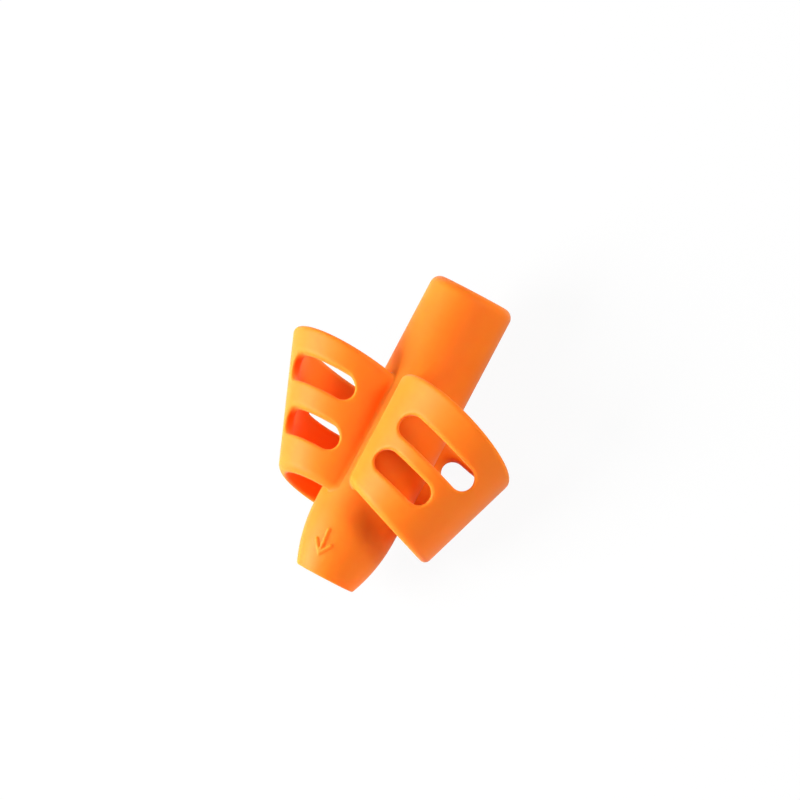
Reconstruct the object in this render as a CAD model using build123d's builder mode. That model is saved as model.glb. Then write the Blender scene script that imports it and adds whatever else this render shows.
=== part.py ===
"""Pencil grip: a soft tube with a slotted finger cuff on each side.

All sizes are in millimetres. X runs along the bore from the nose to the rear end, Y points to the left cuff
and Z to the crest between the cuffs. The origin is the middle of the bore at the nose end.
"""
import math
import os
from collections import namedtuple

from build123d import *

os.makedirs("parts", exist_ok=True)

# Barrel
barrel_length = 44.0
barrel_radius = 6.1
bore_radius = 3.5
bore_lip = 0.25
rear_corner = 1.4
nose_length = 9.0
nose_wall = 0.77
nose_edge = 0.35

# Arrow raised on the nose, turned a little from the crest towards the right cuff
arrow_turn = 13.0
arrow_start = 2.8
arrow_length = 3.4
arrow_head_length = 1.55
arrow_head_width = 2.4
arrow_line = 0.45
arrow_height = 0.25

# Finger pocket of a cuff: a leaning cone, given by its circle at two places along the barrel
rear_place = 29.0
rear_pocket_radius = 9.2
rear_pocket_height = 1.47
rear_barrel_bulge = 4.75
front_place = 11.3
front_pocket_radius = 6.2
front_pocket_height = 0.53
front_barrel_bulge = 6.1
cuff_wall = 1.6
outer_chamfer = 0.5
inner_chamfer = 0.4

# Running gap between the barrel and the saddle of each cuff
saddle_gap = 0.1

# Rims and slots lie in slanting planes: x = place - sweep * y + lean * z, with y away from the crest.
# The ends of a slot are measured from the middle of the pocket.
left_mouth_rim = 27.5
left_mouth_sweep = 0.07
left_mouth_lean = 0.245
left_front_rim = 10.2
left_front_sweep = 0.097
left_front_lean = 0.16
left_slot_turn = 90.0
left_slot_sweep = 0.05
left_slot_lean = 0.2
left_slot_width = 3.5
left_mouth_to_slot = 5.05
left_slot_pitch = 6.8
left_rear_slot_inner = 5.85
left_rear_slot_outer = 5.75
left_front_slot_inner = 4.8
left_front_slot_outer = 5.25
left_lower_sweep = 0.2
left_lower_lean = 0.25
left_lower_width = 3.5
left_mouth_to_lower_slot = 3.8
left_lower_pitch = 6.0
left_lower_rear_inner = 5.0
left_lower_rear_outer = 6.9
left_lower_front_inner = 2.3
left_lower_front_outer = 4.0

right_mouth_rim = 26.55
right_mouth_sweep = 0.08
right_mouth_lean = 0.38
right_front_rim = 11.3
right_front_sweep = 0.24
right_front_lean = 0.28
right_slot_turn = 52.0
right_slot_sweep = 0.2
right_slot_lean = 0.25
right_slot_width = 3.35
right_mouth_to_slot = 3.55
right_slot_pitch = 5.9
right_rear_slot_inner = 7.25
right_rear_slot_outer = 5.4
right_front_slot_inner = 7.15
right_front_slot_outer = 2.1
right_lower_sweep = 0.15
right_lower_lean = 0.275
right_lower_width = 3.2
right_mouth_to_lower_slot = 3.2
right_lower_pitch = 5.8
right_lower_rear_inner = 5.2
right_lower_rear_outer = 3.6
right_lower_front_inner = 2.3
right_lower_front_outer = 3.6

# Worked out from the sizes above
reach = barrel_radius + 2 * (rear_pocket_radius + cuff_wall)
saddle_radius = barrel_radius + saddle_gap
nose_radius = bore_radius + nose_wall
nose_drop = barrel_radius - nose_radius
nose_bow_radius = (nose_length**2 + nose_drop**2) / (2 * nose_drop)
left_rear_slot = left_mouth_rim - left_mouth_to_slot
right_rear_slot = right_mouth_rim - right_mouth_to_slot
left_lower_slot = left_mouth_rim - left_mouth_to_lower_slot
right_lower_slot = right_mouth_rim - right_mouth_to_lower_slot

# A slanting plane, a slot in it, and what makes up a cuff
Slant = namedtuple("Slant", "place sweep lean")
Slot = namedtuple("Slot", "slant inner outer width")
Cuff = namedtuple("Cuff", "mouth front turn upper_slots lower_slots")

left = Cuff(
    mouth=Slant(left_mouth_rim, left_mouth_sweep, left_mouth_lean),
    front=Slant(left_front_rim, left_front_sweep, left_front_lean),
    turn=math.radians(left_slot_turn),
    upper_slots=(Slot(Slant(left_rear_slot, left_slot_sweep, left_slot_lean),
                      left_rear_slot_inner, left_rear_slot_outer, left_slot_width),
                 Slot(Slant(left_rear_slot - left_slot_pitch, left_slot_sweep, left_slot_lean),
                      left_front_slot_inner, left_front_slot_outer, left_slot_width)),
    lower_slots=(Slot(Slant(left_lower_slot, left_lower_sweep, left_lower_lean),
                      left_lower_rear_inner, left_lower_rear_outer, left_lower_width),
                 Slot(Slant(left_lower_slot - left_lower_pitch, left_lower_sweep, left_lower_lean),
                      left_lower_front_inner, left_lower_front_outer, left_lower_width)),
)
right = Cuff(
    mouth=Slant(right_mouth_rim, right_mouth_sweep, right_mouth_lean),
    front=Slant(right_front_rim, right_front_sweep, right_front_lean),
    turn=math.radians(right_slot_turn),
    upper_slots=(Slot(Slant(right_rear_slot, right_slot_sweep, right_slot_lean),
                      right_rear_slot_inner, right_rear_slot_outer, right_slot_width),
                 Slot(Slant(right_rear_slot - right_slot_pitch, right_slot_sweep, right_slot_lean),
                      right_front_slot_inner, right_front_slot_outer, right_slot_width)),
    lower_slots=(Slot(Slant(right_lower_slot, right_lower_sweep, right_lower_lean),
                      right_lower_rear_inner, right_lower_rear_outer, right_lower_width),
                 Slot(Slant(right_lower_slot - right_lower_pitch, right_lower_sweep, right_lower_lean),
                      right_lower_front_inner, right_lower_front_outer, right_lower_width)),
)


# A plane across the barrel, with Y to its right and Z up
def cross_plane(x):
    return Plane(origin=(x, 0, 0), x_dir=(0, 1, 0), z_dir=(1, 0, 0))


# Radius of the bowed nose at a distance from its end
def nose_height(x):
    return barrel_radius - nose_bow_radius + math.sqrt(nose_bow_radius**2 - (nose_length - x) ** 2)


# Middle and radius of the pocket at one place along the barrel
def pocket(x):
    share = (x - front_place) / (rear_place - front_place)
    rear_middle = barrel_radius + rear_pocket_radius - rear_barrel_bulge
    front_middle = barrel_radius + front_pocket_radius - front_barrel_bulge
    across = front_middle + (rear_middle - front_middle) * share
    up = front_pocket_height + (rear_pocket_height - front_pocket_height) * share
    return Vector(across, up), front_pocket_radius + (rear_pocket_radius - front_pocket_radius) * share


# Where a slanting plane meets the point y, z
def slanted(slant, y, z):
    return slant.place - slant.sweep * y + slant.lean * z


# A slanting plane that faces the rear
def slant_plane(slant):
    return Plane(origin=(slant.place, 0, 0), z_dir=(1, slant.sweep, -slant.lean))


# A place along the barrel that lies past every point of a rim; way 1 is past the mouth
def past_rim(slant, x, way):
    middle, radius = pocket(x)
    spread = math.hypot(slant.sweep, slant.lean) * (radius + cuff_wall)
    return slanted(slant, middle.X, middle.Y) + way * (spread + cuff_wall)


# Barrel with its bore and rounded ends
with BuildPart() as plain_barrel:
    with BuildSketch(Plane.XZ):
        with BuildLine():
            Polyline((nose_length, barrel_radius), (barrel_length, barrel_radius),
                     (barrel_length, bore_radius), (0, bore_radius), (0, nose_radius))
            ThreePointArc((0, nose_radius), (nose_length / 2, nose_height(nose_length / 2)),
                          (nose_length, barrel_radius))
        make_face()
    revolve(axis=Axis.X)
    rear_edges = plain_barrel.edges().filter_by(GeomType.CIRCLE).group_by(Axis.X)[-1].sort_by(SortBy.RADIUS)
    fillet(rear_edges[-1], rear_corner)
    fillet(rear_edges[0], bore_lip)
    nose_edges = plain_barrel.edges().filter_by(GeomType.CIRCLE).group_by(Axis.X)[0].sort_by(SortBy.RADIUS)
    fillet(nose_edges[-1], nose_edge)
    fillet(nose_edges[0], bore_lip)

# Lines of the arrow, cut off at a skin just above the nose
with BuildPart() as arrow:
    with BuildSketch(Plane.XY.rotated((arrow_turn, 0, 0)).offset((bore_radius + nose_radius) / 2)):
        with BuildLine():
            shaft = Line((arrow_start, 0), (arrow_start + arrow_length, 0))
        trace(shaft, line_width=arrow_line)
        for side in (1, -1):
            with BuildLine():
                barb = Line((arrow_start, 0), (arrow_start + arrow_head_length, side * arrow_head_width / 2))
            trace(barb, line_width=arrow_line)
    extrude(amount=barrel_radius)
    with BuildSketch(Plane.XZ):
        with BuildLine():
            Polyline((nose_length, barrel_radius + arrow_height), (nose_length, 0), (0, 0),
                     (0, nose_radius + arrow_height))
            ThreePointArc((0, nose_radius + arrow_height),
                          (nose_length / 2, nose_height(nose_length / 2) + arrow_height),
                          (nose_length, barrel_radius + arrow_height))
        make_face()
    revolve(axis=Axis.X, mode=Mode.INTERSECT)

with BuildPart() as barrel:
    add(plain_barrel.part)
    add(arrow.part)

# Both cuffs, made on the left side of the barrel
made = []
for cuff in (left, right):
    loft_places = (past_rim(cuff.front, front_place, -1), past_rim(cuff.mouth, rear_place, 1))
    with BuildPart() as cuff_part:
        # Outer form between its two rims, with chamfered edges
        for x in loft_places:
            middle, radius = pocket(x)
            with BuildSketch(cross_plane(x)):
                with Locations(middle):
                    Circle(radius + cuff_wall)
        loft(ruled=True)
        split(bisect_by=slant_plane(cuff.mouth), keep=Keep.BOTTOM)
        split(bisect_by=slant_plane(cuff.front), keep=Keep.TOP)
        rims = cuff_part.faces().filter_by(GeomType.PLANE)
        chamfer(rims.edges(), outer_chamfer)
        # Finger pocket, with chamfered inner edges
        for x in loft_places:
            middle, radius = pocket(x)
            with BuildSketch(cross_plane(x)):
                with Locations(middle):
                    Circle(radius)
        loft(ruled=True, mode=Mode.SUBTRACT)
        rims = cuff_part.faces().filter_by(GeomType.PLANE)
        chamfer([edge for rim in rims for edge in rim.inner_wires().edges()], inner_chamfer)
        # Saddle that goes round the barrel
        with BuildSketch(cross_plane(0)):
            Circle(saddle_radius)
        extrude(amount=barrel_length, mode=Mode.SUBTRACT)
        # Slots in the upper wall, all cut along one direction
        outward = Vector(0, math.cos(cuff.turn), math.sin(cuff.turn))
        across = Vector(0, -math.sin(cuff.turn), math.cos(cuff.turn))
        for slot in cuff.upper_slots:
            slope = -slot.slant.sweep * across.Y + slot.slant.lean * across.Z
            drift = -slot.slant.sweep * outward.Y + slot.slant.lean * outward.Z
            middle = pocket(slot.slant.place)[0]
            spot = (slot.inner - slot.outer) / 2
            base = (slanted(slot.slant, middle.X, middle.Y), middle.X, middle.Y)
            with BuildSketch(Plane(origin=base, x_dir=across, z_dir=outward)):
                with Locations((spot, slope * spot)):
                    SlotOverall((slot.inner + slot.outer) * math.hypot(1, slope), slot.width,
                                rotation=math.degrees(math.atan(slope)))
            extrude(amount=reach, dir=(drift, outward.Y, outward.Z), mode=Mode.SUBTRACT)
        # Slots in the lower wall, cut downwards
        for slot in cuff.lower_slots:
            middle = pocket(slot.slant.place)[0]
            spot = middle.X + (slot.outer - slot.inner) / 2
            with BuildSketch(Plane.XY):
                with Locations((slanted(slot.slant, spot, 0), spot)):
                    SlotOverall((slot.inner + slot.outer) * math.hypot(1, slot.slant.sweep), slot.width,
                                rotation=90 + math.degrees(math.atan(slot.slant.sweep)))
            extrude(amount=reach, dir=(-slot.slant.lean, 0, -1), mode=Mode.SUBTRACT)
    made.append(cuff_part.part)

with BuildPart() as left_cuff:
    add(made[0])

# The right cuff stands on the other side of the crest
with BuildPart() as right_cuff:
    mirror(made[1], about=Plane.XZ)

# One file for each piece
barrel.part.label = "barrel"
export_step(barrel.part, "parts/barrel.step")
left_cuff.part.label = "left_finger_cuff"
export_step(left_cuff.part, "parts/left_finger_cuff.step")
right_cuff.part.label = "right_finger_cuff"
export_step(right_cuff.part, "parts/right_finger_cuff.step")
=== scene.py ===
import math

import bpy
import numpy as np
from mathutils import Matrix, Vector


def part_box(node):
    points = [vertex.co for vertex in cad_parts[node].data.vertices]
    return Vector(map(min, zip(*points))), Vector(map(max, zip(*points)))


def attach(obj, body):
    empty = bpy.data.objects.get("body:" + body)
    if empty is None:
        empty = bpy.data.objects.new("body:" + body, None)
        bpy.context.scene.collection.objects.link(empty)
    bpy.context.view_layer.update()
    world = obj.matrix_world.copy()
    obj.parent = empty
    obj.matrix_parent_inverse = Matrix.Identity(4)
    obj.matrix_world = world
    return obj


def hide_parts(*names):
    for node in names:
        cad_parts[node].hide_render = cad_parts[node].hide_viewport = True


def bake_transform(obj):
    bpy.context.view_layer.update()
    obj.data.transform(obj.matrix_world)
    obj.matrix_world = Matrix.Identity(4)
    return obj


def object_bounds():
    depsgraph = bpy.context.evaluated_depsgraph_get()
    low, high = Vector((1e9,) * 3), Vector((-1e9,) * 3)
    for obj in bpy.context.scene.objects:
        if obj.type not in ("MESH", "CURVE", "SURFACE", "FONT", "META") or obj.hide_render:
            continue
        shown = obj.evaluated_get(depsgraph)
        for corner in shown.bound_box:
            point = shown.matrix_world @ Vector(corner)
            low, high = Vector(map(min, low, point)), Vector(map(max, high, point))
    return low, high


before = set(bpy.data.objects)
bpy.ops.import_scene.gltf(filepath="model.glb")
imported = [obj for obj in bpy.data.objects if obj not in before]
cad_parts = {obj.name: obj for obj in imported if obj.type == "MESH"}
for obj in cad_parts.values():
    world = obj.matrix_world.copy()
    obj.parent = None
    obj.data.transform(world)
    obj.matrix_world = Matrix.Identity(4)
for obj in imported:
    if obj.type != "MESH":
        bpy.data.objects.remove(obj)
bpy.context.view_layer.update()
mm = 0.001
print("frame loaded, nodes:", sorted(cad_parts))


# camera

photoView = {
    "turn": math.radians(38),  # camera stands this far from the crest, towards the right cuff
    "roll": math.radians(62.15),  # rise of the barrel in the picture
    "width": 109.3 * mm,  # what the picture spans at the object
    "distance": 0.9,
    "sensor": 36.0,  # millimetres, as Blender counts a sensor
    "nearest": 0.01,
    "middle": Vector((22, 0, 0)) * mm,  # middle of the barrel
    "right": 0.05 * mm,  # from there to the picture's middle
    "up": 4.84 * mm,
}


def cameraAxes():
    turn, roll = photoView["turn"], photoView["roll"]
    toCamera = Vector((0, -math.sin(turn), math.cos(turn)))
    along = Vector((1, 0, 0))
    across = toCamera.cross(along)
    right = along * math.cos(roll) - across * math.sin(roll)
    up = along * math.sin(roll) + across * math.cos(roll)
    return right, up, toCamera


def makeCamera():
    right, up, toCamera = cameraAxes()
    target = photoView["middle"] + right * photoView["right"] + up * photoView["up"]
    data = bpy.data.cameras.new("photoCamera")
    data.sensor_width = photoView["sensor"]
    data.lens = data.sensor_width * photoView["distance"] / photoView["width"]
    data.clip_start = photoView["nearest"]
    camera = bpy.data.objects.new("photoCamera", data)
    turned = Matrix((right, up, toCamera)).transposed().to_4x4()
    camera.matrix_world = Matrix.Translation(target + toCamera * photoView["distance"]) @ turned
    bpy.context.scene.collection.objects.link(camera)
    bpy.context.scene.camera = camera


makeCamera()
print("camera set")


# silicone

silicone = {
    "light": (0.93, 0.211, 0.012, 1),
    "deep": (0.91, 0.191, 0.01, 1),
    "cloudScale": 140,  # soft clouds of colour, per metre
    "cloudDetail": 3,
    "cloudLow": 0.3,  # where the deep tone ends and the light one begins
    "cloudHigh": 0.7,
    "grainScale": 5200,  # fine moulded grain, per metre
    "grainDetail": 2,
    "grainHeight": 0.012 * mm,
    "grainStrength": 0.5,
    "roughLow": 0.46,
    "roughHigh": 0.58,
    "scatter": 0.6,
    "scatterReach": 2.4 * mm,
    "scatterColor": (1.0, 0.5, 0.12),  # share of that reach for red, green and blue
    "refraction": 1.41,
    "gloss": 0.16,
    "bloom": 0.08,  # pale matte skin, seen where the surface turns away
    "bloomRough": 0.4,
}


def makeSilicone():
    material = bpy.data.materials.new("orangeSilicone")
    material.use_nodes = True
    nodes, links = material.node_tree.nodes, material.node_tree.links
    shader = nodes["Principled BSDF"]
    place = nodes.new("ShaderNodeTexCoord")

    clouds = nodes.new("ShaderNodeTexNoise")
    clouds.inputs["Scale"].default_value = silicone["cloudScale"]
    clouds.inputs["Detail"].default_value = silicone["cloudDetail"]
    links.new(place.outputs["Object"], clouds.inputs["Vector"])
    tones = nodes.new("ShaderNodeValToRGB")
    tones.color_ramp.elements[0].position = silicone["cloudLow"]
    tones.color_ramp.elements[0].color = silicone["deep"]
    tones.color_ramp.elements[1].position = silicone["cloudHigh"]
    tones.color_ramp.elements[1].color = silicone["light"]
    links.new(clouds.outputs["Fac"], tones.inputs["Fac"])
    links.new(tones.outputs["Color"], shader.inputs["Base Color"])

    grain = nodes.new("ShaderNodeTexNoise")
    grain.inputs["Scale"].default_value = silicone["grainScale"]
    grain.inputs["Detail"].default_value = silicone["grainDetail"]
    links.new(place.outputs["Object"], grain.inputs["Vector"])
    rough = nodes.new("ShaderNodeMapRange")
    rough.inputs["To Min"].default_value = silicone["roughLow"]
    rough.inputs["To Max"].default_value = silicone["roughHigh"]
    links.new(grain.outputs["Fac"], rough.inputs["Value"])
    links.new(rough.outputs["Result"], shader.inputs["Roughness"])
    bump = nodes.new("ShaderNodeBump")
    bump.inputs["Strength"].default_value = silicone["grainStrength"]
    bump.inputs["Distance"].default_value = silicone["grainHeight"]
    links.new(grain.outputs["Fac"], bump.inputs["Height"])
    links.new(bump.outputs["Normal"], shader.inputs["Normal"])

    shader.inputs["Subsurface Weight"].default_value = silicone["scatter"]
    shader.inputs["Subsurface Radius"].default_value = silicone["scatterColor"]
    shader.inputs["Subsurface Scale"].default_value = silicone["scatterReach"]
    shader.inputs["IOR"].default_value = silicone["refraction"]
    shader.inputs["Specular IOR Level"].default_value = silicone["gloss"]
    shader.inputs["Sheen Weight"].default_value = silicone["bloom"]
    shader.inputs["Sheen Roughness"].default_value = silicone["bloomRough"]
    return material


siliconeMaterial = makeSilicone()
print("silicone made")


def addPiece(name, mesh, material):
    piece = bpy.data.objects.new(name, mesh)
    bpy.context.scene.collection.objects.link(piece)
    mesh.materials.clear()
    mesh.materials.append(material)
    mesh.shade_smooth()
    return piece


# barrel, turned on the X axis, with the arrow raised on its nose

barrelSizes = {  # millimetres
    "length": 44.0,
    "radius": 6.1,
    "bore": 3.5,  # its radius
    "boreLip": 0.25,
    "rearCorner": 1.4,
    "noseLength": 9.0,
    "noseWall": 0.77,
    "noseEdge": 0.35,
    "ringGap": 1.0,  # between the rings of the straight part
}

barrelSteps = {  # facets round the barrel, and points along each stretch of its profile
    "round": 320,
    "lip": 6,
    "edge": 8,
    "nose": 80,
    "corner": 16,
    "bore": 24,
}

arrowSizes = {  # millimetres
    "turn": math.radians(13),  # from the crest towards the right cuff
    "start": 2.8,
    "length": 3.4,
    "headLength": 1.55,
    "headWidth": 2.4,
    "line": 0.45,
    "soft": 0.12,
    "height": 0.25,
}


def arcPoints(middle, radius, start, end, count):
    turns = np.radians(np.linspace(start, end, count))
    return [(middle[0] + radius * math.cos(t), middle[1] + radius * math.sin(t)) for t in turns]


def barrelProfile():
    size, steps = barrelSizes, barrelSteps
    long, radius, bore, lip = size["length"], size["radius"], size["bore"], size["boreLip"]
    nose, edge, corner, gap = size["noseLength"], size["noseEdge"], size["rearCorner"], size["ringGap"]
    drop = radius - bore - size["noseWall"]
    bow = (nose**2 + drop**2) / (2 * drop)
    edgeUp = radius - bow + math.sqrt((bow - edge) ** 2 - (nose - edge) ** 2)
    lean = math.degrees(math.atan2(edgeUp - radius + bow, edge - nose))
    points = arcPoints((lip, bore + lip), lip, 270, 180, steps["lip"])
    points += arcPoints((edge, edgeUp), edge, 180, lean, steps["edge"])[:-1]
    points += arcPoints((nose, radius - bow), bow, lean, 90, steps["nose"])
    points += [(x, radius) for x in np.arange(nose + gap, long - corner - gap / 2, gap)]
    points += arcPoints((long - corner, radius - corner), corner, 90, 0, steps["corner"])
    points += arcPoints((long - lip, bore + lip), lip, 0, -90, steps["lip"])
    points += [(x, bore) for x in np.linspace(long - lip, lip, steps["bore"])[1:-1]]
    return np.array(points)


def lineDistance(u, v, start, end):
    run = np.subtract(end, start)
    share = ((u - start[0]) * run[0] + (v - start[1]) * run[1]) / (run @ run)
    share = np.clip(share, 0, 1)
    return np.hypot(u - start[0] - share * run[0], v - start[1] - share * run[1])


def arrowRise(x, turn, radius):
    size = arrowSizes
    v = (turn - size["turn"]) * radius
    tip = (size["start"], 0)
    ends = [(size["start"] + size["length"], 0)]
    ends += [(size["start"] + size["headLength"], side * size["headWidth"] / 2) for side in (1, -1)]
    near = np.min([lineDistance(x, v, tip, end) for end in ends], axis=0)
    share = np.clip((size["line"] / 2 + size["soft"] - near) / (2 * size["soft"]), 0, 1)
    return size["height"] * share * share * (3 - 2 * share)


def makeBarrel():
    profile = barrelProfile()
    count, rings = barrelSteps["round"], len(profile)
    turns = np.linspace(0, 2 * math.pi, count, endpoint=False)
    x, turn = np.meshgrid(profile[:, 0], turns, indexing="ij")
    radius = np.repeat(profile[:, 1][:, None], count, axis=1)
    towardsCrest = (turn + math.pi) % (2 * math.pi) - math.pi
    onNose = (x < barrelSizes["noseLength"]) & (radius > barrelSizes["bore"] + barrelSizes["noseWall"] / 2)
    radius = radius + np.where(onNose, arrowRise(x, towardsCrest, radius), 0)
    points = np.stack([x, -radius * np.sin(turn), radius * np.cos(turn)], axis=-1).reshape(-1, 3) * mm
    faces = []
    for ring in range(rings):
        here, there = ring * count, (ring + 1) % rings * count
        for spot in range(count):
            after = (spot + 1) % count
            faces.append((here + spot, here + after, there + after, there + spot))
    mesh = bpy.data.meshes.new("barrelSkin")
    mesh.from_pydata(points.tolist(), [], faces)
    mesh.validate()
    return addPiece("barrelSkin", mesh, siliconeMaterial)


barrel = makeBarrel()
print("barrel made,", len(barrel.data.polygons), "faces")


# finger cuffs, one node tree for both: the cuff is a solid given by a distance formula

cuffSizes = {  # both cuffs, in millimetres, and degrees for the two limits
    "Barrel radius": barrelSizes["radius"],
    "Rear place": 29.0,
    "Rear pocket radius": 9.2,
    "Rear pocket height": 1.47,
    "Rear bulge": 4.75,
    "Front place": 11.3,
    "Front pocket radius": 6.2,
    "Front pocket height": 0.53,
    "Front bulge": 6.1,
    "Wall": 1.6,
    "Mouth round": 0.75,
    "Front round": 1.0,
    "Inner round": 0.85,
    "Root round": 0.4,
    "Slot round": 0.55,
    "Crest limit": 1.7,
    "Lower limit": 12.0,
    "Sunk": 0.02,  # root under the barrel's skin
    "Root depth": 0.7,
    "Root spread": 0.8,  # root past the rims
    "Voxel": 0.2,
}

cuffSkin = {  # how the cuffs' surface is drawn, lengths in millimetres
    "threshold": 0.5,
    "evenSteps": 3,
    "seatSteps": 3,
    "seatReach": 0.1,
    "room": 1.5,  # of the grid round a cuff
    "pastCrest": 0.5,  # least reach of the grid over the crest
}

leftCuffSizes = {  # rims and slots of the left cuff: turn in degrees, sweep and lean as slopes
    "Mouth rim": 27.6,
    "Mouth sweep": 0.07,
    "Mouth lean": 0.245,
    "Front rim": 9.9,
    "Front sweep": 0.09,
    "Front lean": 0.21,
    "Upper slot turn": 90.0,
    "Upper slot sweep": 0.05,
    "Upper slot lean": 0.2,
    "Upper slot width": 3.5,
    "Upper rear slot": 22.65,
    "Upper rear inner": 5.5,
    "Upper rear outer": 5.75,
    "Upper front slot": 15.9,
    "Upper front inner": 4.6,
    "Upper front outer": 5.25,
    "Lower slot sweep": 0.2,
    "Lower slot lean": 0.25,
    "Lower slot width": 3.5,
    "Lower rear slot": 23.7,
    "Lower rear inner": 5.0,
    "Lower rear outer": 8.2,
    "Lower front slot": 17.7,
    "Lower front inner": 2.3,
    "Lower front outer": 4.0,
}

rightCuffSizes = {  # the same of the right cuff
    "Mouth rim": 26.7,
    "Mouth sweep": 0.1,
    "Mouth lean": 0.38,
    "Front rim": 12.0,
    "Front sweep": 0.28,
    "Front lean": 0.225,
    "Upper slot turn": 52.0,
    "Upper slot sweep": 0.2,
    "Upper slot lean": 0.25,
    "Upper slot width": 3.35,
    "Upper rear slot": 23.0,
    "Upper rear inner": 7.1,
    "Upper rear outer": 5.25,
    "Upper front slot": 17.3,
    "Upper front inner": 6.95,
    "Upper front outer": 1.9,
    "Lower slot sweep": 0.15,
    "Lower slot lean": 0.275,
    "Lower slot width": 3.4,
    "Lower rear slot": 23.5,
    "Lower rear inner": 5.2,
    "Lower rear outer": 3.6,
    "Lower front slot": 17.55,
    "Lower front inner": 2.3,
    "Lower front outer": 3.6,
}


class Term:  # a value in a node tree, usable in a formula
    def __init__(self, tree, socket):
        self.tree = tree
        self.socket = socket

    def step(self, operation, *others):
        node = self.tree.nodes.new("ShaderNodeMath")
        node.operation = operation
        for place, value in enumerate((self, *others)):
            if isinstance(value, Term):
                self.tree.links.new(value.socket, node.inputs[place])
            else:
                node.inputs[place].default_value = value
        return Term(self.tree, node.outputs[0])

    def __add__(self, other):
        return self.step("ADD", other)

    def __sub__(self, other):
        return self.step("SUBTRACT", other)

    def __mul__(self, other):
        return self.step("MULTIPLY", other)

    def __truediv__(self, other):
        return self.step("DIVIDE", other)

    def __neg__(self):
        return self.step("MULTIPLY", -1)

    def __abs__(self):
        return self.step("ABSOLUTE")


def larger(first, *others):
    for other in others:
        first = first.step("MAXIMUM", other)
    return first


def smaller(first, *others):
    for other in others:
        first = first.step("MINIMUM", other)
    return first


def lengthOf(y, z):
    return (y * y + z * z).step("SQRT")


def roundedCut(a, b, radius):  # what both solids share, with the edge rounded
    return smaller(larger(a, b), -radius) + lengthOf(larger(a + radius, 0), larger(b + radius, 0))


def roundedJoin(a, b, radius):  # both solids together, with the corner filled
    return -roundedCut(-a, -b, radius)


def pocketAt(size, x):
    share = (x - size["Front place"]) / (size["Rear place"] - size["Front place"])
    rearMiddle = size["Barrel radius"] + size["Rear pocket radius"] - size["Rear bulge"]
    frontMiddle = size["Barrel radius"] + size["Front pocket radius"] - size["Front bulge"]
    y = frontMiddle + (rearMiddle - frontMiddle) * share
    z = size["Front pocket height"] + (size["Rear pocket height"] - size["Front pocket height"]) * share
    frontRadius, rearRadius = size["Front pocket radius"], size["Rear pocket radius"]
    radius = frontRadius + (rearRadius - frontRadius) * share
    return y, z, radius


def slotCut(along, off, slope, inner, outer, width):  # a straight slot with round ends
    tilt = slope.step("ARCTANGENT")
    run = along / tilt.step("COSINE") + off * tilt.step("SINE")
    half = (inner + outer) / tilt.step("COSINE") / 2 - width / 2
    return lengthOf(larger(abs(run) - half, 0), off * tilt.step("COSINE")) - width / 2


def slanted(size, name, x, y, z):  # how far along the barrel, measured to a slanting plane
    return x + size[name + " sweep"] * y - size[name + " lean"] * z


def cuffDistance(size, x, y, z):
    seat = size["Barrel radius"] - size["Sunk"]
    middleY, middleZ, pocketRadius = pocketAt(size, x)
    outer = pocketRadius + size["Wall"]

    # ring on the barrel, between rims that lie in slanting planes
    onBarrel = lengthOf(y, z) - seat
    fromMiddle = lengthOf(y - middleY, z - middleZ)
    ring = fromMiddle - outer
    rims = {}
    for rim in ("Mouth", "Front"):
        sweep, lean = size[rim + " sweep"], size[rim + " lean"]
        stretch = (sweep * sweep + lean * lean + 1).step("SQRT")
        rims[rim] = (slanted(size, rim, x, y, z) - size[rim + " rim"]) / stretch
    solid = roundedCut(ring, rims["Mouth"], size["Mouth round"])
    solid = roundedCut(solid, -rims["Front"], size["Front round"])
    solid = roundedJoin(solid, onBarrel, size["Root round"])

    # finger pocket
    hollow = roundedCut(fromMiddle - pocketRadius, -onBarrel, size["Root round"])
    solid = roundedCut(solid, -hollow, size["Inner round"])

    # upper slots
    turn = size["Upper slot turn"].step("RADIANS")
    cosTurn, sinTurn = turn.step("COSINE"), turn.step("SINE")
    across = z * cosTurn - y * sinTurn
    outward = y * cosTurn + z * sinTurn
    slope = size["Upper slot sweep"] * sinTurn + size["Upper slot lean"] * cosTurn
    for row in ("rear", "front"):
        place = size["Upper " + row + " slot"]
        inner, outerEnd = size["Upper " + row + " inner"], size["Upper " + row + " outer"]
        spotY, spotZ = pocketAt(size, place)[:2]
        spot = spotZ * cosTurn - spotY * sinTurn + (inner - outerEnd) / 2
        start = spotY * cosTurn + spotZ * sinTurn
        off = slanted(size, "Upper slot", x, y, z) - place
        cut = slotCut(across - spot, off, slope, inner, outerEnd, size["Upper slot width"])
        solid = roundedCut(solid, -larger(cut, start - outward), size["Slot round"])

    # lower slots
    for row in ("rear", "front"):
        place = size["Lower " + row + " slot"]
        inner, outerEnd = size["Lower " + row + " inner"], size["Lower " + row + " outer"]
        spot = pocketAt(size, place)[0] + (outerEnd - inner) / 2
        off = slanted(size, "Lower slot", x, y, z) - place
        cut = slotCut(y - spot, off, -size["Lower slot sweep"], inner, outerEnd, size["Lower slot width"])
        solid = roundedCut(solid, -larger(cut, z), size["Slot round"])

    # the root stays a thin saddle just under the barrel's skin
    upperLimit = size["Crest limit"].step("RADIANS")
    lowerLimit = size["Lower limit"].step("RADIANS")
    wedge = larger(z * upperLimit.step("SINE") - y * upperLimit.step("COSINE"),
                   -z * lowerLimit.step("SINE") - y * lowerLimit.step("COSINE"))
    slab = larger(rims["Mouth"], -rims["Front"]) - size["Root spread"]
    return larger(solid, wedge, slab, -(onBarrel + size["Root depth"]))


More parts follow.
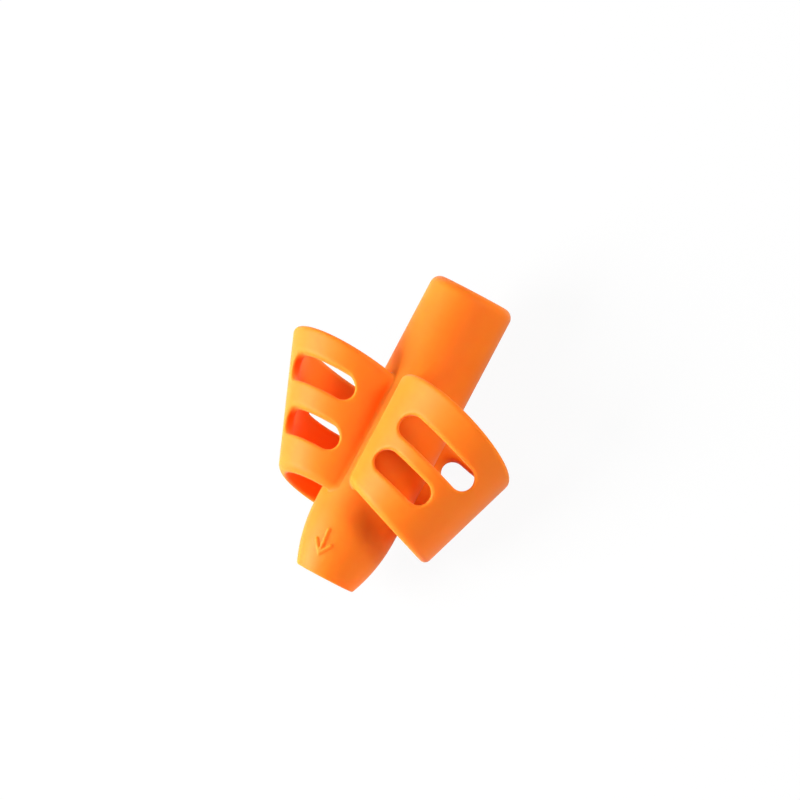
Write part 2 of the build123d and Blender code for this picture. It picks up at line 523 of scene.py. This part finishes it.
def makeCuffTree():
    tree = bpy.data.node_groups.new("fingerCuff", "GeometryNodeTree")
    tree.is_modifier = True
    tree.interface.new_socket("Geometry", in_out="OUTPUT", socket_type="NodeSocketGeometry")
    names = [*cuffSizes, *leftCuffSizes, "Side"]
    for name in names:
        tree.interface.new_socket(name, in_out="INPUT", socket_type="NodeSocketFloat")
    for name in ("Low corner", "High corner"):
        tree.interface.new_socket(name, in_out="INPUT", socket_type="NodeSocketVector")
    tree.interface.new_socket("Material", in_out="INPUT", socket_type="NodeSocketMaterial")
    nodes, links = tree.nodes, tree.links
    given = nodes.new("NodeGroupInput")
    size = {name: Term(tree, given.outputs[name]) for name in names}

    position = nodes.new("GeometryNodeInputPosition")
    split = nodes.new("ShaderNodeSeparateXYZ")
    links.new(position.outputs[0], split.inputs[0])
    x, y, z = (Term(tree, socket) for socket in split.outputs)
    distance = cuffDistance(size, x, y * size["Side"], z)

    # grid of distances, as many cells as the voxel size needs
    span = nodes.new("ShaderNodeVectorMath")
    span.operation = "SUBTRACT"
    links.new(given.outputs["High corner"], span.inputs[0])
    links.new(given.outputs["Low corner"], span.inputs[1])
    sides = nodes.new("ShaderNodeSeparateXYZ")
    links.new(span.outputs[0], sides.inputs[0])
    grid = nodes.new("GeometryNodeVolumeCube")
    links.new((-distance + cuffSkin["threshold"]).socket, grid.inputs["Density"])
    links.new(given.outputs["Low corner"], grid.inputs["Min"])
    links.new(given.outputs["High corner"], grid.inputs["Max"])
    for side, cells in zip(sides.outputs, ("Resolution X", "Resolution Y", "Resolution Z")):
        links.new((Term(tree, side) / size["Voxel"]).socket, grid.inputs[cells])
    skin = nodes.new("GeometryNodeVolumeToMesh")
    skin.inputs["Threshold"].default_value = cuffSkin["threshold"]
    links.new(grid.outputs["Volume"], skin.inputs["Volume"])
    shape = skin.outputs["Mesh"]

    # even out the facets, then set them back onto the exact surface
    blur = nodes.new("GeometryNodeBlurAttribute")
    blur.data_type = "FLOAT_VECTOR"
    blur.inputs["Iterations"].default_value = cuffSkin["evenSteps"]
    vectorIn = [socket for socket in blur.inputs if socket.enabled and socket.type == "VECTOR"][0]
    vectorOut = [socket for socket in blur.outputs if socket.enabled][0]
    links.new(position.outputs[0], vectorIn)
    evened = nodes.new("GeometryNodeSetPosition")
    links.new(shape, evened.inputs["Geometry"])
    links.new(vectorOut, evened.inputs["Position"])
    shape = evened.outputs["Geometry"]
    normal = nodes.new("GeometryNodeInputNormal")
    reach = cuffSkin["seatReach"]
    for repeat in range(cuffSkin["seatSteps"]):
        back = nodes.new("ShaderNodeVectorMath")
        back.operation = "SCALE"
        links.new(normal.outputs[0], back.inputs[0])
        links.new(smaller(larger(-distance, -reach), reach).socket, back.inputs["Scale"])
        seated = nodes.new("GeometryNodeSetPosition")
        links.new(shape, seated.inputs["Geometry"])
        links.new(back.outputs[0], seated.inputs["Offset"])
        shape = seated.outputs["Geometry"]

    toMetres = nodes.new("GeometryNodeTransform")
    toMetres.inputs["Scale"].default_value = (mm, mm, mm)
    realize = nodes.new("GeometryNodeRealizeInstances")
    paint = nodes.new("GeometryNodeSetMaterial")
    result = nodes.new("NodeGroupOutput")
    links.new(shape, toMetres.inputs["Geometry"])
    links.new(toMetres.outputs["Geometry"], realize.inputs["Geometry"])
    links.new(realize.outputs["Geometry"], paint.inputs["Geometry"])
    links.new(given.outputs["Material"], paint.inputs["Material"])
    links.new(paint.outputs["Geometry"], result.inputs["Geometry"])
    return tree


def makeCuff(name, node, side, sizes, tree):
    low, high = (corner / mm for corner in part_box(node))
    room = Vector((1, 1, 1)) * cuffSkin["room"]
    low, high = low - room, high + room
    if side > 0:
        low.y = min(low.y, -cuffSkin["pastCrest"])
    else:
        high.y = max(high.y, cuffSkin["pastCrest"])
    holder = bpy.data.objects.new(name + "Grid", bpy.data.meshes.new(name + "Grid"))
    bpy.context.scene.collection.objects.link(holder)
    modifier = holder.modifiers.new("fingerCuff", "NODES")
    modifier.node_group = tree
    values = {**cuffSizes, **sizes, "Side": float(side)}
    values.update({"Low corner": low, "High corner": high, "Material": siliconeMaterial})
    for item in tree.interface.items_tree:
        if item.item_type == "SOCKET" and item.in_out == "INPUT":
            modifier[item.identifier] = values[item.name]
    shown = holder.evaluated_get(bpy.context.evaluated_depsgraph_get())
    mesh = bpy.data.meshes.new_from_object(shown)
    mesh.name = name
    bpy.data.objects.remove(holder)
    return addPiece(name, mesh, siliconeMaterial)


cuffTree = makeCuffTree()
leftCuff = makeCuff("leftFingerCuff", "left_finger_cuff", 1, leftCuffSizes, cuffTree)
rightCuff = makeCuff("rightFingerCuff", "right_finger_cuff", -1, rightCuffSizes, cuffTree)
print("cuffs made,", len(leftCuff.data.polygons), "and", len(rightCuff.data.polygons), "faces")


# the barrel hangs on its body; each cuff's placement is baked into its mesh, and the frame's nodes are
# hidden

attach(barrel, "barrel")
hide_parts("barrel")
for cuff, body, node, side in ((leftCuff, "left_cuff", "left_finger_cuff", 1),
                               (rightCuff, "right_cuff", "right_finger_cuff", -1)):
    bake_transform(cuff)
    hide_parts(node)


# floor, background and light

studio = {
    "floorReach": 3.0,
    "floorColor": (0.57, 0.57, 0.57, 1),
    "floorWhite": 0.94,  # share of plain white that the camera sees in the floor
    "skyLow": 0.0,  # light from the nose's side and from the rear end's side
    "skyHigh": 0.64,
    "lampDistance": 0.6,
}

lamps = {  # power, size and where it stands: right, up and towards the camera in the picture
    "keyLight": (9.7, 0.45, (-0.96, -0.07, 0.1)),
    "fillLight": (1.75, 0.16, (0.54, 0.27, 0.8)),
}


def seenRays(nodes, links):
    path = nodes.new("ShaderNodeLightPath")
    total = path.outputs["Is Camera Ray"]
    for name in ("Is Glossy Ray", "Is Transmission Ray"):
        add = nodes.new("ShaderNodeMath")
        add.operation = "MAXIMUM"
        links.new(total, add.inputs[0])
        links.new(path.outputs[name], add.inputs[1])
        total = add.outputs[0]
    return total


def makeFloor():
    reach = studio["floorReach"]
    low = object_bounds()[0].z
    mesh = bpy.data.meshes.new("floor")
    corners = [(-reach, -reach, low), (reach, -reach, low), (reach, reach, low), (-reach, reach, low)]
    mesh.from_pydata(corners, [], [(0, 1, 2, 3)])
    floor = bpy.data.objects.new("floor", mesh)
    bpy.context.scene.collection.objects.link(floor)
    material = bpy.data.materials.new("paleFloor")
    material.use_nodes = True
    nodes, links = material.node_tree.nodes, material.node_tree.links
    nodes.clear()
    matte = nodes.new("ShaderNodeBsdfDiffuse")
    matte.inputs["Color"].default_value = studio["floorColor"]
    white = nodes.new("ShaderNodeEmission")
    share = nodes.new("ShaderNodeMath")
    share.operation = "MULTIPLY"
    share.inputs[1].default_value = studio["floorWhite"]
    links.new(seenRays(nodes, links), share.inputs[0])
    mix = nodes.new("ShaderNodeMixShader")
    links.new(share.outputs[0], mix.inputs["Fac"])
    links.new(matte.outputs[0], mix.inputs[1])
    links.new(white.outputs[0], mix.inputs[2])
    output = nodes.new("ShaderNodeOutputMaterial")
    links.new(mix.outputs[0], output.inputs["Surface"])
    mesh.materials.append(material)


def makeLight():
    world = bpy.data.worlds.new("studio")
    bpy.context.scene.world = world
    world.use_nodes = True
    nodes, links = world.node_tree.nodes, world.node_tree.links
    background = nodes["Background"]
    right, up, toCamera = cameraAxes()
    place = nodes.new("ShaderNodeTexCoord")
    rise = nodes.new("ShaderNodeVectorMath")
    rise.operation = "DOT_PRODUCT"
    rise.inputs[1].default_value = (1, 0, 0)  # along the barrel
    links.new(place.outputs["Generated"], rise.inputs[0])
    sky = nodes.new("ShaderNodeMapRange")
    sky.inputs["From Min"].default_value = -1
    sky.inputs["To Min"].default_value = studio["skyLow"]
    sky.inputs["To Max"].default_value = studio["skyHigh"]
    links.new(rise.outputs["Value"], sky.inputs["Value"])
    strength = nodes.new("ShaderNodeMapRange")
    strength.inputs["To Max"].default_value = 1
    links.new(seenRays(nodes, links), strength.inputs["Value"])
    links.new(sky.outputs["Result"], strength.inputs["To Min"])
    background.inputs["Color"].default_value = (1, 1, 1, 1)
    links.new(strength.outputs["Result"], background.inputs["Strength"])

    for name, (power, size, share) in lamps.items():
        direction = (right * share[0] + up * share[1] + toCamera * share[2]).normalized()
        data = bpy.data.lights.new(name, "AREA")
        data.shape = "DISK"
        data.size = size
        data.energy = power
        lamp = bpy.data.objects.new(name, data)
        lamp.location = photoView["middle"] + direction * studio["lampDistance"]
        lamp.rotation_euler = direction.to_track_quat("Z", "Y").to_euler()
        bpy.context.scene.collection.objects.link(lamp)


makeFloor()
makeLight()
bpy.context.scene.view_settings.view_transform = "Standard"
print("studio set")
